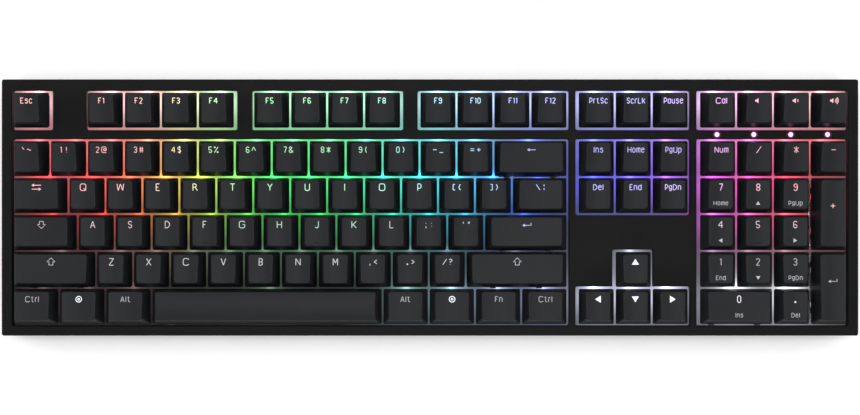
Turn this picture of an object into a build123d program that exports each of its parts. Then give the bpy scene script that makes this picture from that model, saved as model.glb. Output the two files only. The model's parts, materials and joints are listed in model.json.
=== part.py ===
"""Full-size backlit mechanical keyboard, 108 keys, millimetres.

The row frame has +X to the right, +Y to the rear and +Z up, with the origin on the desk under the
middle of the keyboard. Almost everything is modelled in the deck frame (u, v, w): u to the right,
v to the rear along the tilted deck, w along the deck's normal, with w = 0 on top of the switch plate.
"""
from build123d import *
import math
import os

# Key grid
UNIT = 19.05                # pitch of one key
BLOCK_GAP = 5.4             # between the main, navigation and number pad blocks
ROW_GAP = 5.95              # between the function row and the number row
GRID_SHIFT = -0.4           # the keys sit a little to the front of the deck's middle
MAIN_UNITS, NAV_UNITS, PAD_UNITS = 15, 3, 4
ROWS = 6

# Case
CASE_WIDTH = 443.0
CASE_DEPTH = 132.6
TILT = 5.0                  # the deck rises to the rear, degrees
DECK_HEIGHT = 18.5          # plate top above the desk, at the middle of the deck
RIM = 4.5                   # top of the case above the plate
SEAM = -1.0                 # parting line of the two case halves
WALL = 2.5
CORNER = 1.2
SIDE_MARGIN, END_MARGIN = 1.0, 0.65     # key cut-outs are this much larger than the cells
CUT_CORNER = 1.0
UNDERSIDE = 1.5             # the case floor hangs this far above the desk
REAR_TAPER = 1.5

# Plate and circuit board
PLATE_THICK = 1.5
PLATE_SIZE = (434.0, 125.4)
SWITCH_HOLE = 14.0
BOARD_TOP = -5.0
BOARD_THICK = 1.6
BOARD_SIZE = (430.0, 121.0)

# Keycaps: heights above the plate, and insets of the top face from the skirt
TRAVEL = 4.0
SKIRT = 6.2
CAP_GAP = 0.95              # between two neighbouring skirts
SIDE_INSET, REAR_INSET, FRONT_INSET = 3.0, 1.2, 2.5
SKIRT_CORNER, TOP_CORNER = 0.9, 1.5
CAP_WALL, CAP_ROOF = 1.4, 1.5
DISH = 0.7
SOFT_EDGE = 0.45
CROWN_RADIUS = 40.0         # the space bar is crowned, not dished
BOSS_RADIUS = 2.7
# front and rear edge of the top face above the skirt, rear row first
TOP_HEIGHTS = [(9.6, 11.3), (9.6, 11.3), (8.9, 9.6), (8.6, 8.7), (9.5, 8.5), (9.5, 8.5)]

# Switch
HOUSING_TOP = 6.6
STEM_TOP = 10.2
FLANGE = 15.6
SHAFT = (7.6, 6.0)          # opening that guides the stem
STEM_PLAY = 0.2
CROSS = (4.0, 1.2)
CROSS_PLAY = 0.05
SPRING_RADIUS, SPRING_WIRE, SPRING_TURNS = 2.0, 0.35, 6
LEAF_OFFSET = 4.85
PIN_END = -8.2

# Stabiliser
WIDE_STAB, SPACE_STAB = 11.94, 50.0
WIRE_RADIUS = 0.7
ARM = 9.0
ARM_RISE = math.degrees(math.asin(TRAVEL / 2 / ARM))
BAR_OFFSET = ARM * math.cos(math.radians(ARM_RISE))
BAR_HEIGHT = 1.1
STAB_HOUSING = 7.4
STAB_SLIDER = 5.6
ARM_REACH = STAB_HOUSING / 2 + 0.25 + WIRE_RADIUS

# Flip-out feet, in the row frame
FOOT_X = 150.0
FOOT_AXIS_Y, FOOT_AXIS_Z = 56.0, 4.2
FOOT_THICK = 4.4
LARGE_FOOT = (28.0, 20.0)   # width, reach from the pin
SMALL_FOOT = (16.0, 14.0)
FOOT_PIN_RADIUS = 1.0
POCKET = (30.0, 25.0, 6.5)
POCKET_WALL = 1.6

# Screws, lights and socket
SCREW_RADIUS, SCREW_HEAD, SCREW_BOSS = 1.0, 2.2, 1.65
SCREW_END = RIM - 1.8       # the screws stop this high above the plate
LIGHT_RADIUS = 1.2
SOCKET_U = -120.0
SOCKET = (8.94, 7.3, 3.26)
SOCKET_OPENING = (8.34, 2.56)

GRID_WIDTH = (MAIN_UNITS + NAV_UNITS + PAD_UNITS) * UNIT + 2 * BLOCK_GAP
GRID_DEPTH = ROWS * UNIT + ROW_GAP
MAIN = -GRID_WIDTH / 2
NAV = MAIN + MAIN_UNITS * UNIT + BLOCK_GAP
PAD = NAV + NAV_UNITS * UNIT + BLOCK_GAP

SIN, COS = math.sin(math.radians(TILT)), math.cos(math.radians(TILT))
DECK_Y = (RIM + SEAM) * SIN / 2
DECK = Pos(0, DECK_Y, DECK_HEIGHT) * Rot(TILT, 0, 0)


def row_v(row):
    """Middle of a row of keys; row 0 is the function row at the rear."""
    gap = ROW_GAP if row else 0
    return GRID_SHIFT + GRID_DEPTH / 2 - gap - (row + 0.5) * UNIT


class Key:
    """One key: its centre on the deck, its size in units and its row's profile."""

    def __init__(self, left, row, width=1, depth=1):
        self.width, self.depth, self.row = width, depth, row
        self.u = left + width * UNIT / 2
        self.v = row_v(row) - (depth - 1) * UNIT / 2

    @property
    def place(self):
        return Pos(self.u, self.v, 0)

    @property
    def stabiliser(self):
        """Distance of the stabiliser's sliders from the middle, or None."""
        longest = max(self.width, self.depth)
        if longest < 2:
            return None
        return SPACE_STAB if longest > 3 else WIDE_STAB

    @property
    def turn(self):
        """Stabiliser parts are modelled for a wide key; a tall key turns them."""
        return Rot(0, 0, -90) if self.depth > 1 else Rot(0, 0, 0)


def run(block, row, start, widths):
    """Keys side by side along a row, from a start in units."""
    keys = []
    for width in widths:
        keys.append(Key(block + start * UNIT, row, width))
        start += width
    return keys


KEYS = {
    "escape_key": run(MAIN, 0, 0, [1]),
    "f1_to_f4_keys": run(MAIN, 0, 2, [1] * 4),
    "f5_to_f8_keys": run(MAIN, 0, 6.5, [1] * 4),
    "f9_to_f12_keys": run(MAIN, 0, 11, [1] * 4),
    "number_row_keys": run(MAIN, 1, 0, [1] * 13),
    "backspace_key": run(MAIN, 1, 13, [2]),
    "tab_key": run(MAIN, 2, 0, [1.5]),
    "upper_letter_keys": run(MAIN, 2, 1.5, [1] * 12),
    "backslash_key": run(MAIN, 2, 13.5, [1.5]),
    "caps_lock_key": run(MAIN, 3, 0, [1.75]),
    "home_row_keys": run(MAIN, 3, 1.75, [1] * 11),
    "enter_key": run(MAIN, 3, 12.75, [2.25]),
    "left_shift_key": run(MAIN, 4, 0, [2.25]),
    "lower_letter_keys": run(MAIN, 4, 2.25, [1] * 10),
    "right_shift_key": run(MAIN, 4, 12.25, [2.75]),
    "modifier_keys": run(MAIN, 5, 0, [1.25] * 3) + run(MAIN, 5, 10, [1.25] * 4),
    "space_bar": run(MAIN, 5, 3.75, [6.25]),
    "print_screen_keys": run(NAV, 0, 0, [1] * 3),
    "navigation_keys": run(NAV, 1, 0, [1] * 3) + run(NAV, 2, 0, [1] * 3),
    "up_arrow_key": run(NAV, 4, 1, [1]),
    "left_arrow_key": run(NAV, 5, 0, [1]),
    "down_arrow_key": run(NAV, 5, 1, [1]),
    "right_arrow_key": run(NAV, 5, 2, [1]),
    "media_keys": run(PAD, 0, 0, [1] * 4),
    "pad_operator_keys": run(PAD, 1, 0, [1] * 4),
    "pad_789_keys": run(PAD, 2, 0, [1] * 3),
    "pad_456_keys": run(PAD, 3, 0, [1] * 3),
    "pad_123_keys": run(PAD, 4, 0, [1] * 3),
    "pad_plus_key": [Key(PAD + 3 * UNIT, 2, 1, 2)],
    "pad_enter_key": [Key(PAD + 3 * UNIT, 4, 1, 2)],
    "pad_zero_key": run(PAD, 5, 0, [2]),
    "pad_decimal_key": run(PAD, 5, 2, [1]),
}
ALL_KEYS = [key for keys in KEYS.values() for key in keys]
STABILISED = {name: keys[0] for name, keys in KEYS.items() if keys[0].stabiliser}

# Key blocks that the case opens for: block, first unit, first row, units wide, rows deep
CUTOUTS = [
    (MAIN, 0, 0, 1, 1),
    (MAIN, 2, 0, 4, 1),
    (MAIN, 6.5, 0, 4, 1),
    (MAIN, 11, 0, 4, 1),
    (NAV, 0, 0, 3, 1),
    (PAD, 0, 0, 4, 1),
    (MAIN, 0, 1, 15, 5),
    (NAV, 0, 1, 3, 2),
    (PAD, 0, 1, 4, 5),
]
SCREWS = [
    (MAIN + 1.5 * UNIT, (row_v(0) + row_v(1)) / 2),
    (MAIN + 6.25 * UNIT, (row_v(0) + row_v(1)) / 2),
    (MAIN + 12 * UNIT, (row_v(0) + row_v(1)) / 2),
    (NAV + 1.5 * UNIT, (row_v(0) + row_v(1)) / 2),
    (NAV - BLOCK_GAP / 2, row_v(3)),
    (PAD - BLOCK_GAP / 2, row_v(3)),
    (NAV + 0.5 * UNIT, row_v(4)),
    (NAV + 2.5 * UNIT, row_v(4)),
]
LIGHTS = [(PAD + (i + 0.5) * UNIT, (row_v(0) + row_v(1)) / 2) for i in range(4)]


# ---- Helpers -------------------------------------------------------------------------------------

def box(u, v, w):
    """Box from three (low, high) pairs."""
    size = [high - low for low, high in (u, v, w)]
    return Pos(*[(low + high) / 2 for low, high in (u, v, w)]) * Box(*size)


def rod(radius, low, high, u=0, v=0):
    """Upright cylinder between two heights."""
    return Pos(u, v, (low + high) / 2) * Cylinder(radius, high - low)


def slab(size, radius, low, high):
    """Rounded rectangle extruded between two heights."""
    return extrude(Pos(0, 0, low) * RectangleRounded(*size, radius), high - low)


def frustum(base, top, low, high, base_radius, top_radius, shift=0.0):
    """Tapered block between two rounded rectangles; the top one is shifted along v."""
    lower = (Pos(0, 0, low) * RectangleRounded(*base, base_radius)).wire()
    upper = (Pos(0, shift, high) * RectangleRounded(*top, top_radius)).wire()
    return Solid.make_loft([lower, upper], ruled=True)


def taper(base, top, low, high):
    """Tapered block with sharp edges."""
    lower = (Pos(0, 0, low) * Rectangle(*base)).wire()
    upper = (Pos(0, 0, high) * Rectangle(*top)).wire()
    return Solid.make_loft([lower, upper], ruled=True)


def cut_box(block, start, row, units, rows, low, high):
    """Rounded block as large as a group of cells and its margin."""
    width = units * UNIT + 2 * SIDE_MARGIN
    depth = rows * UNIT + 2 * END_MARGIN
    u = block + (start + units / 2) * UNIT
    v = row_v(row) + UNIT / 2 - rows * UNIT / 2
    return Pos(u, v, 0) * slab((width, depth), CUT_CORNER, low, high)


def write(name, shapes):
    """One STEP file per node, its solids placed on the tilted deck."""
    placed = [DECK * shape for shape in shapes]
    export_step(Compound(children=placed), f"parts/{name}.step")


def write_level(name, shapes):
    """The same for parts modelled in the row frame."""
    export_step(Compound(children=list(shapes)), f"parts/{name}.step")


# ---- Keycaps and stems ---------------------------------------------------------------------------

def cap_outline(width, depth, inset_scale):
    """Size and shift of a keycap's section, between skirt (0) and top face (1)."""
    size = (
        width - 2 * SIDE_INSET * inset_scale,
        depth - (REAR_INSET + FRONT_INSET) * inset_scale,
    )
    return size, (FRONT_INSET - REAR_INSET) / 2 * inset_scale


def dish_cut(body, width, shift, height, slope):
    """A shallow trough along v, sloped to the row's profile."""
    half = width / 2 - SIDE_INSET
    radius = (half ** 2 + DISH ** 2) / (2 * DISH)
    trough = Rot(90 + slope, 0, 0) * Cylinder(radius, 200)
    return body - Pos(0, shift, SKIRT + height - DISH + radius) * trough


def crown_cut(body, shift, height, slope):
    """A convex top along u, for the space bar."""
    centre = Pos(0, shift, SKIRT + height + DISH / 2 - CROWN_RADIUS)
    crown = centre * Rot(slope, 0, 0) * Rot(0, 90, 0) * Cylinder(CROWN_RADIUS, 200)
    return body & crown


def socket_boss(ceiling):
    """Round boss with the cross-shaped socket that grips a stem."""
    length, thick = CROSS[0] + 2 * CROSS_PLAY, CROSS[1] + 2 * CROSS_PLAY
    depth = STEM_TOP - HOUSING_TOP + 0.3
    boss = rod(BOSS_RADIUS, HOUSING_TOP, ceiling)
    centre = Pos(0, 0, HOUSING_TOP + depth / 2)
    return boss - centre * Box(length, thick, depth) - centre * Box(thick, length, depth)


def keycap(key):
    """Hollow keycap: tapered walls, dished or crowned top, softened edges, socket bosses."""
    width, depth = key.width * UNIT - CAP_GAP, key.depth * UNIT - CAP_GAP
    front, rear = TOP_HEIGHTS[key.row]
    height = (front + rear) / 2
    slope = math.degrees(math.atan((rear - front) / (UNIT - CAP_GAP - REAR_INSET - FRONT_INSET)))
    if key.depth > 1:
        slope /= 2
    over = (height + 2) / height
    size, shift = cap_outline(width, depth, over)
    body = frustum((width, depth), size, SKIRT, SKIRT + height + 2, SKIRT_CORNER, TOP_CORNER, shift)
    _, top_shift = cap_outline(width, depth, 1)
    if key.width > 3:
        body = crown_cut(body, top_shift, height, slope)
    else:
        body = dish_cut(body, width, top_shift, height, slope)
    top_edges = body.edges().filter_by(lambda edge: edge.center().Z > SKIRT + height - 2)
    body = fillet(top_edges, SOFT_EDGE)
    ceiling = min(front, rear) - DISH - CAP_ROOF
    inner, inner_shift = cap_outline(width, depth, ceiling / height)
    hollow = frustum(
        (width - 2 * CAP_WALL, depth - 2 * CAP_WALL), [side - 2 * CAP_WALL for side in inner],
        SKIRT, SKIRT + ceiling, SKIRT_CORNER / 2, SKIRT_CORNER / 2, inner_shift)
    body -= hollow
    for spot in stem_spots(key):
        body += spot * socket_boss(SKIRT + ceiling + 0.4)
    return body.solid()


def stem_spots(key):
    """Places of a key's switch stem and stabiliser sliders, relative to its centre."""
    spots = [Pos(0, 0, 0)]
    if key.stabiliser:
        spots += [key.turn * Pos(side * key.stabiliser, 0, 0) for side in (-1, 1)]
    return spots


def cross_top():
    """The cross on top of a stem, shared by switches and stabilisers."""
    middle = Pos(0, 0, (HOUSING_TOP + STEM_TOP) / 2)
    tall = STEM_TOP - HOUSING_TOP
    return middle * Box(*CROSS, tall) + middle * Box(CROSS[1], CROSS[0], tall)


def switch_stem():
    """Slider of the switch, bored from below for the spring."""
    width, depth = SHAFT[0] - 2 * STEM_PLAY, SHAFT[1] - 2 * STEM_PLAY
    slider = box((-width / 2, width / 2), (-depth / 2, depth / 2), (0.6, HOUSING_TOP))
    return (slider - rod(SPRING_RADIUS + 0.4, 0.6, 5.4) + cross_top()).solid()


def stabiliser_slider():
    """Slider at one end of a wide key, slotted for the wire's hook."""
    half = STAB_SLIDER / 2
    slider = box((-half, half), (-half, half), (1.0, HOUSING_TOP))
    hook = BAR_HEIGHT + TRAVEL / 2
    slot = box((-half, half), (-0.95, 1.2), (hook - 0.95, hook + 0.95))
    return (slider - slot + cross_top()).solid()


def key_solids(key):
    """Cap, switch stem and stabiliser sliders of one key, in its own frame."""
    solids = [keycap(key), switch_stem()]
    solids += [spot * stabiliser_slider() for spot in stem_spots(key)[1:]]
    return solids


# ---- Switches ------------------------------------------------------------------------------------

def lower_housing():
    """Black half of the switch: clipped body, flange, guide shaft, LED window and centre post."""
    half, flange = SWITCH_HOLE / 2 - 0.05, FLANGE / 2
    body = box((-half, half), (-half, half), (BOARD_TOP, 0))
    body += box((-flange, flange), (-flange, flange), (0, 1))
    body -= box((-SHAFT[0] / 2, SHAFT[0] / 2), (-SHAFT[1] / 2, SHAFT[1] / 2), (-4.2, 1))
    body -= box((-2.2, 2.2), (3.5, 6.75), (BOARD_TOP, 1))
    for side in (-1, 1):
        u = side * LEAF_OFFSET
        body -= box((u - 0.3, u + 0.3), (-0.2, 2.2), (BOARD_TOP, 1))
    return (body + rod(1.95, PIN_END, BOARD_TOP)).solid()


def upper_housing():
    """Clear half of the switch, a tapered hood with the stem's opening."""
    hood = taper((14.0, 14.0), (10.8, 11.4), 1, HOUSING_TOP)
    hood -= taper((12.0, 12.0), (9.2, 9.8), 1, 5.6)
    opening = box((-SHAFT[0] / 2, SHAFT[0] / 2), (-SHAFT[1] / 2, SHAFT[1] / 2), (5, HOUSING_TOP))
    return (hood - opening).solid()


def spring():
    """Coil between the housing floor and the inside of the stem."""
    low, high = -4.2 + SPRING_WIRE / 2, 5.4 - SPRING_WIRE / 2
    path = Helix(pitch=(high - low) / SPRING_TURNS, height=high - low, radius=SPRING_RADIUS)
    start = Plane(origin=path @ 0, z_dir=path % 0)
    coil = sweep(start * Rectangle(SPRING_WIRE, SPRING_WIRE), path=path, is_frenet=True)
    return Pos(0, 0, low) * coil.solid()


def contact_leaves():
    """Two contact leaves that end in the solder pins."""
    leaves = []
    for side in (-1, 1):
        u = side * LEAF_OFFSET
        leaves.append(box((u - 0.15, u + 0.15), (0, 2), (PIN_END, 0.8)))
    return leaves


def led():
    """Light of one key, on the board behind the stem."""
    return box((-1.7, 1.7), (3.8, 6.4), (BOARD_TOP, BOARD_TOP + 1.6))


# ---- Stabilisers ---------------------------------------------------------------------------------

def stabiliser_housing(side):
    """Guide box clipped in the plate, with the foot and groove that hold the wire's bar."""
    half, shaft = STAB_HOUSING / 2, STAB_SLIDER / 2 + STEM_PLAY
    body = box((-half, half), (-half, half), (-3.8, 5.2))
    body -= box((-shaft, shaft), (-shaft, shaft), (-3.0, 5.2))
    outer = sorted((side * (shaft - 1), side * half))
    body -= box(outer, (-1.1, 1.4), (-1.9, 4.1))
    body += box((-half, half), (half, 5.4), (0, 0.8))
    body += box((-1.5, 1.5), (-10.0, -half), (-1.4, 0.1))
    body += box((-1.5, 1.5), (-10.0, -7.4), (-1.4, 1.9))
    groove = WIRE_RADIUS + 0.06
    bar = Pos(0, -BAR_OFFSET, BAR_HEIGHT)
    body -= bar * Rot(0, 90, 0) * Cylinder(groove, 4)
    body -= bar * box((-2, 2), (-groove, groove), (0, 1))
    return body.solid()


def stabiliser_wire(reach):
    """Bent wire: a long bar, two arms and two hooks, arms raised while the key is up."""
    arm, tip = reach + ARM_REACH, reach - 0.5
    path = FilletPolyline(
        (-tip, ARM, 0), (-arm, ARM, 0), (-arm, 0, 0), (arm, 0, 0), (arm, ARM, 0), (tip, ARM, 0),
        radius=1.2)
    start = Plane(origin=path @ 0, z_dir=path % 0)
    wire = sweep(start * Circle(WIRE_RADIUS), path=path)
    return Pos(0, -BAR_OFFSET, BAR_HEIGHT) * Rot(ARM_RISE, 0, 0) * wire.solid()


# ---- Plate and board -----------------------------------------------------------------------------

def rectangle_wire(centre, u, v):
    """Closed rectangle from (low, high) pairs, placed on a key."""
    middle = Pos((u[0] + u[1]) / 2, (v[0] + v[1]) / 2, 0)
    return (centre * middle * Rectangle(u[1] - u[0], v[1] - v[0])).wire()


def circle_wire(radius, u, v):
    return (Pos(u, v, 0) * Circle(radius)).wire()


def pierced_sheet(size, radius, top, thick, holes):
    """Flat sheet with all its holes, extruded down from its top face."""
    outline = RectangleRounded(*size, radius).wire()
    sheet = Face(outline, holes)
    return (Pos(0, 0, top - thick) * extrude(sheet, thick)).solid()


def switch_plate():
    """Steel plate with a square hole per switch, and holes for stabilisers, screws and lights."""
    half = SWITCH_HOLE / 2
    holes = [rectangle_wire(key.place, (-half, half), (-half, half)) for key in ALL_KEYS]
    for key in STABILISED.values():
        for side in (-1, 1):
            middle = side * key.stabiliser
            span = sorted((middle - side * 3.9, middle + side * 5.6))
            holes.append(rectangle_wire(key.place * key.turn, span, (-10.1, 4.2)))
    holes += [circle_wire(SCREW_RADIUS + 0.2, u, v) for u, v in SCREWS]
    holes += [circle_wire(LIGHT_RADIUS + 0.1, u, v) for u, v in LIGHTS]
    return pierced_sheet(PLATE_SIZE, CORNER, 0, PLATE_THICK, holes)


def circuit_board():
    """Board with holes for the centre posts, contact pins and screws."""
    holes = []
    for key in ALL_KEYS:
        holes.append(circle_wire(2.05, key.u, key.v))
        for side in (-1, 1):
            u = side * LEAF_OFFSET
            holes.append(rectangle_wire(key.place, (u - 0.4, u + 0.4), (-0.25, 2.25)))
    holes += [circle_wire(SCREW_RADIUS + 0.2, u, v) for u, v in SCREWS]
    return pierced_sheet(BOARD_SIZE, CORNER, BOARD_TOP, BOARD_THICK, holes)


# ---- Case ----------------------------------------------------------------------------------------

def hollow_under(block, start, row, units):
    """Lightening pocket below a closed part of the top case."""
    rib = 2.2
    low = block + start * UNIT + rib
    high = block + (start + units) * UNIT - rib
    v = row_v(row)
    half = UNIT / 2 - END_MARGIN - rib
    return box((low, high), (v - half, v + half), (0, RIM - 2.2))


def top_case():
    """Bezel: raised rim round every key block, recess for the plate, screw bosses, light holes."""
    body = slab((CASE_WIDTH, CASE_DEPTH), CORNER, SEAM, RIM)
    rim = body.edges().filter_by(lambda edge: edge.center().Z > RIM - 0.01)
    body = fillet(rim, 0.9)
    recess = (CASE_WIDTH - 2 * WALL, CASE_DEPTH - 2 * WALL)
    body -= slab(recess, CORNER, SEAM, 0)
    for cutout in CUTOUTS:
        body -= cut_box(*cutout, 0, RIM)
    arrows = cut_box(NAV, 0, 5, 3, 1, 0, RIM) + cut_box(NAV, 1, 4, 1, 1, 0, RIM)
    body -= arrows
    body -= hollow_under(NAV, 0, 3, 3)
    for start in (0, 2):
        body -= hollow_under(NAV, start, 4, 1)
    inner = body.edges().filter_by(lambda edge: edge.center().Z > RIM - 0.01)
    body = chamfer([edge for edge in inner if inside_rim(edge)], 0.3)
    for u, v in SCREWS:
        body += rod(SCREW_BOSS, 0, RIM - 1, u, v)
    for u, v in SCREWS:
        body -= rod(SCREW_RADIUS + 0.05, 0, SCREW_END + 0.3, u, v)
    for u, v in LIGHTS:
        body -= rod(LIGHT_RADIUS + 0.05, 0, RIM, u, v)
    return body.solid()


def inside_rim(edge):
    """True for the edges of the key cut-outs, false for the case's outline."""
    middle = edge.center()
    return abs(middle.X) < GRID_WIDTH / 2 + 1 and abs(middle.Y) < GRID_DEPTH / 2 + 1


def side_profile(inset, floor):
    """Side view of the bottom case in the row frame, from seam to floor."""
    half = CASE_DEPTH / 2 - inset
    front = deck_point(-half, SEAM)
    rear = deck_point(half, SEAM)
    front_foot = front[0] + (front[1] - floor) * math.tan(math.radians(TILT))
    points = [front, (front_foot, floor), (rear[0] - REAR_TAPER, floor), rear]
    outline = Plane.YZ * Polyline(*points, close=True)
    return make_face(outline)


def deck_point(v, w):
    """(Y, Z) in the row frame of a point on the deck."""
    return DECK_Y + v * COS - w * SIN, DECK_HEIGHT + v * SIN + w * COS


def case_block(inset, floor):
    """Solid filling of the bottom case, shrunk by an inset."""
    size = (CASE_WIDTH - 2 * inset, CASE_DEPTH - 2 * inset)
    prism = DECK * slab(size, CORNER, -40, SEAM)
    side = extrude(side_profile(inset, floor), CASE_WIDTH / 2, both=True)
    return prism & side


def foot_pocket(side, grow, depth):
    """Block round a pair of flip-out feet."""
    u, rear = side * FOOT_X, FOOT_AXIS_Y + 3.5
    width, length = POCKET[0] / 2 + grow, POCKET[1] + grow
    return box((u - width, u + width), (rear - length, rear + grow), (UNDERSIDE, UNDERSIDE + depth))


def bottom_case():
    """Tray with a flat floor, screw posts, foot pockets and the socket's opening."""
    body = case_block(0, UNDERSIDE)
    lower = body.edges().filter_by(lambda edge: edge.center().Z < UNDERSIDE + 0.01)
    body = chamfer(lower, 1.0)
    body -= case_block(WALL, UNDERSIDE + WALL)
    cavity_side = case_block(WALL - 0.1, UNDERSIDE + 0.5)
    top = BOARD_TOP - BOARD_THICK
    for u, v in SCREWS:
        body += (DECK * rod(3.75, -40, top, u, v)) & cavity_side
    for side in (-1, 1):
        body += foot_pocket(side, POCKET_WALL, POCKET[2] + POCKET_WALL)
    for side in (-1, 1):
        body -= foot_pocket(side, 0, POCKET[2])
        body -= foot_pin(side, FOOT_PIN_RADIUS + 0.02, POCKET[0] / 2 + 1.3)
    for u, v in SCREWS:
        body -= DECK * rod(SCREW_HEAD + 0.2, -40, top - 3, u, v)
        body -= DECK * rod(SCREW_RADIUS + 0.2, -40, top, u, v)
    for place in PAD_PLACES:
        body -= place * slab(PAD_SIZE, PAD_SIZE[1] / 2 - 0.01, UNDERSIDE, UNDERSIDE + 0.5)
    return (body - socket_clearance()).solid()


def case_screws():
    """Screws driven up from the posts into the top case."""
    under = BOARD_TOP - BOARD_THICK - 3
    screws = []
    for u, v in SCREWS:
        head = rod(SCREW_HEAD, under - 1.8, under, u, v)
        head -= Pos(u, v, under - 1.4) * Box(2.6, 0.6, 0.8) + Pos(u, v, under - 1.4) * Box(0.6, 2.6, 0.8)
        screws.append((head + rod(SCREW_RADIUS, under, SCREW_END, u, v)).solid())
    return screws


def light_pipes():
    """Clear rods that carry the indicator lights to the rim."""
    return [rod(LIGHT_RADIUS, -3.2, RIM + 0.1, u, v) for u, v in LIGHTS]


def indicator_leds():
    return [box((u - 1.4, u + 1.4), (v - 1, v + 1), (BOARD_TOP, BOARD_TOP + 1.2)) for u, v in LIGHTS]


def socket_place():
    top = BOARD_TOP - BOARD_THICK
    return Pos(SOCKET_U, CASE_DEPTH / 2 - 1.2 - SOCKET[1] / 2, top - SOCKET[2] / 2)


def usb_socket():
    """Socket shell under the board's rear edge, with its contact tongue."""
    shell = Box(*SOCKET)
    shell = fillet(shell.edges().filter_by(Axis.Y), 1.2)
    shell -= Pos(0, 1, 0) * Box(SOCKET_OPENING[0], SOCKET[1], SOCKET_OPENING[1])
    tongue = Pos(0, -0.5, 0) * Box(6.7, SOCKET[1] - 1, 0.7)
    return (socket_place() * (shell + tongue)).solid()


def socket_clearance():
    """Opening in the rear wall for the socket, with a shallow recess for the plug's body."""
    hole = Pos(0, 3, 0) * Box(SOCKET[0] + 0.6, 14, SOCKET[2] + 0.6)
    recess = Pos(0, SOCKET[1] / 2 + 4.4, 0) * Box(13, 8, 6.6)
    return DECK * socket_place() * (hole + recess)


def controller_chip():
    u, v, top = MAIN + 4.5 * UNIT, (row_v(0) + row_v(1)) / 2, BOARD_TOP - BOARD_THICK
    return box((u - 3.5, u + 3.5), (v - 3.5, v + 3.5), (top - 1.2, top))


# ---- Feet, in the row frame ----------------------------------------------------------------------

PAD_SIZE = (42.0, 9.0)
PAD_PLACES = [Pos(x, y, 0) for x in (-190, 190) for y in (-54.0, 50.0)]


def rubber_feet():
    """Four rubber strips, glued in shallow recesses."""
    return [place * slab(PAD_SIZE, PAD_SIZE[1] / 2 - 0.01, 0, UNDERSIDE + 0.5) for place in PAD_PLACES]


def foot_pin(side, radius, half_length):
    axis = Pos(side * FOOT_X, FOOT_AXIS_Y, FOOT_AXIS_Z) * Rot(0, 90, 0)
    return axis * Cylinder(radius, 2 * half_length)


def flip_foot(side, width, reach, window):
    """Swinging foot on its pin; the large one has a window that the small one folds into."""
    barrel = FOOT_THICK / 2 + 0.2
    half = FOOT_THICK / 2
    body = box((-width / 2, width / 2), (-reach, 0), (-half, half))
    tip = body.edges().filter_by(Axis.X).filter_by(lambda edge: edge.center().Y < -reach + 0.01)
    body = fillet(tip, 1.0)
    body += Rot(0, 90, 0) * Cylinder(barrel, width)
    if window:
        opening_width, opening_reach = window
        body -= box((-opening_width / 2, opening_width / 2), (-opening_reach, 4), (-4, 4))
    body -= Rot(0, 90, 0) * Cylinder(FOOT_PIN_RADIUS + 0.08, width + 2)
    return (Pos(side * FOOT_X, FOOT_AXIS_Y, FOOT_AXIS_Z) * body).solid()


# ---- The whole keyboard --------------------------------------------------------------------------

def write_keys():
    shapes = {}
    for name, keys in KEYS.items():
        solids = []
        for key in keys:
            kind = (key.width, key.depth, key.row)
            if kind not in shapes:
                shapes[kind] = key_solids(key)
            solids += [key.place * solid for solid in shapes[kind]]
        write(name, solids)


def write_stabilisers():
    housings = []
    for name, key in STABILISED.items():
        frame = key.place * key.turn
        for side in (-1, 1):
            housings.append(frame * Pos(side * key.stabiliser, 0, 0) * stabiliser_housing(side))
        write(name.replace("_key", "") + "_stabiliser_wire", [frame * stabiliser_wire(key.stabiliser)])
    write("stabiliser_housings", housings)


def write_switches():
    repeated = {
        "lower_switch_housings": [lower_housing()],
        "upper_switch_housings": [upper_housing()],
        "switch_springs": [spring()],
        "switch_contacts": contact_leaves(),
    }
    for name, solids in repeated.items():
        write(name, [key.place * solid for key in ALL_KEYS for solid in solids])
    write("leds", [key.place * led() for key in ALL_KEYS] + indicator_leds())


def write_case():
    write("top_case", [top_case()])
    write_level("bottom_case", [bottom_case()])
    write("switch_plate", [switch_plate()])
    write("circuit_board", [circuit_board()])
    write("controller_chip", [controller_chip()])
    write("light_pipes", light_pipes())
    write("usb_socket", [usb_socket()])
    write("case_screws", case_screws())


def write_feet():
    write_level("rubber_feet", rubber_feet())
    pins = [foot_pin(side, FOOT_PIN_RADIUS, POCKET[0] / 2 + 1.2) for side in (-1, 1)]
    write_level("foot_pins", pins)
    window = (SMALL_FOOT[0] + 0.8, SMALL_FOOT[1] + 1.5)
    for side, word in ((-1, "left"), (1, "right")):
        write_level(f"{word}_large_foot", [flip_foot(side, *LARGE_FOOT, window)])
        write_level(f"{word}_small_foot", [flip_foot(side, *SMALL_FOOT, None)])


def main():
    os.makedirs("parts", exist_ok=True)
    write_case()
    write_switches()
    write_stabilisers()
    write_keys()
    write_feet()


main()
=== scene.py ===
"""Looks of the backlit keyboard: legends, painted light on the plate, materials, light and camera."""
import json
import math
import bmesh
import bpy
import numpy as np
from mathutils import Matrix, Vector
from mathutils.bvhtree import BVHTree


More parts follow.
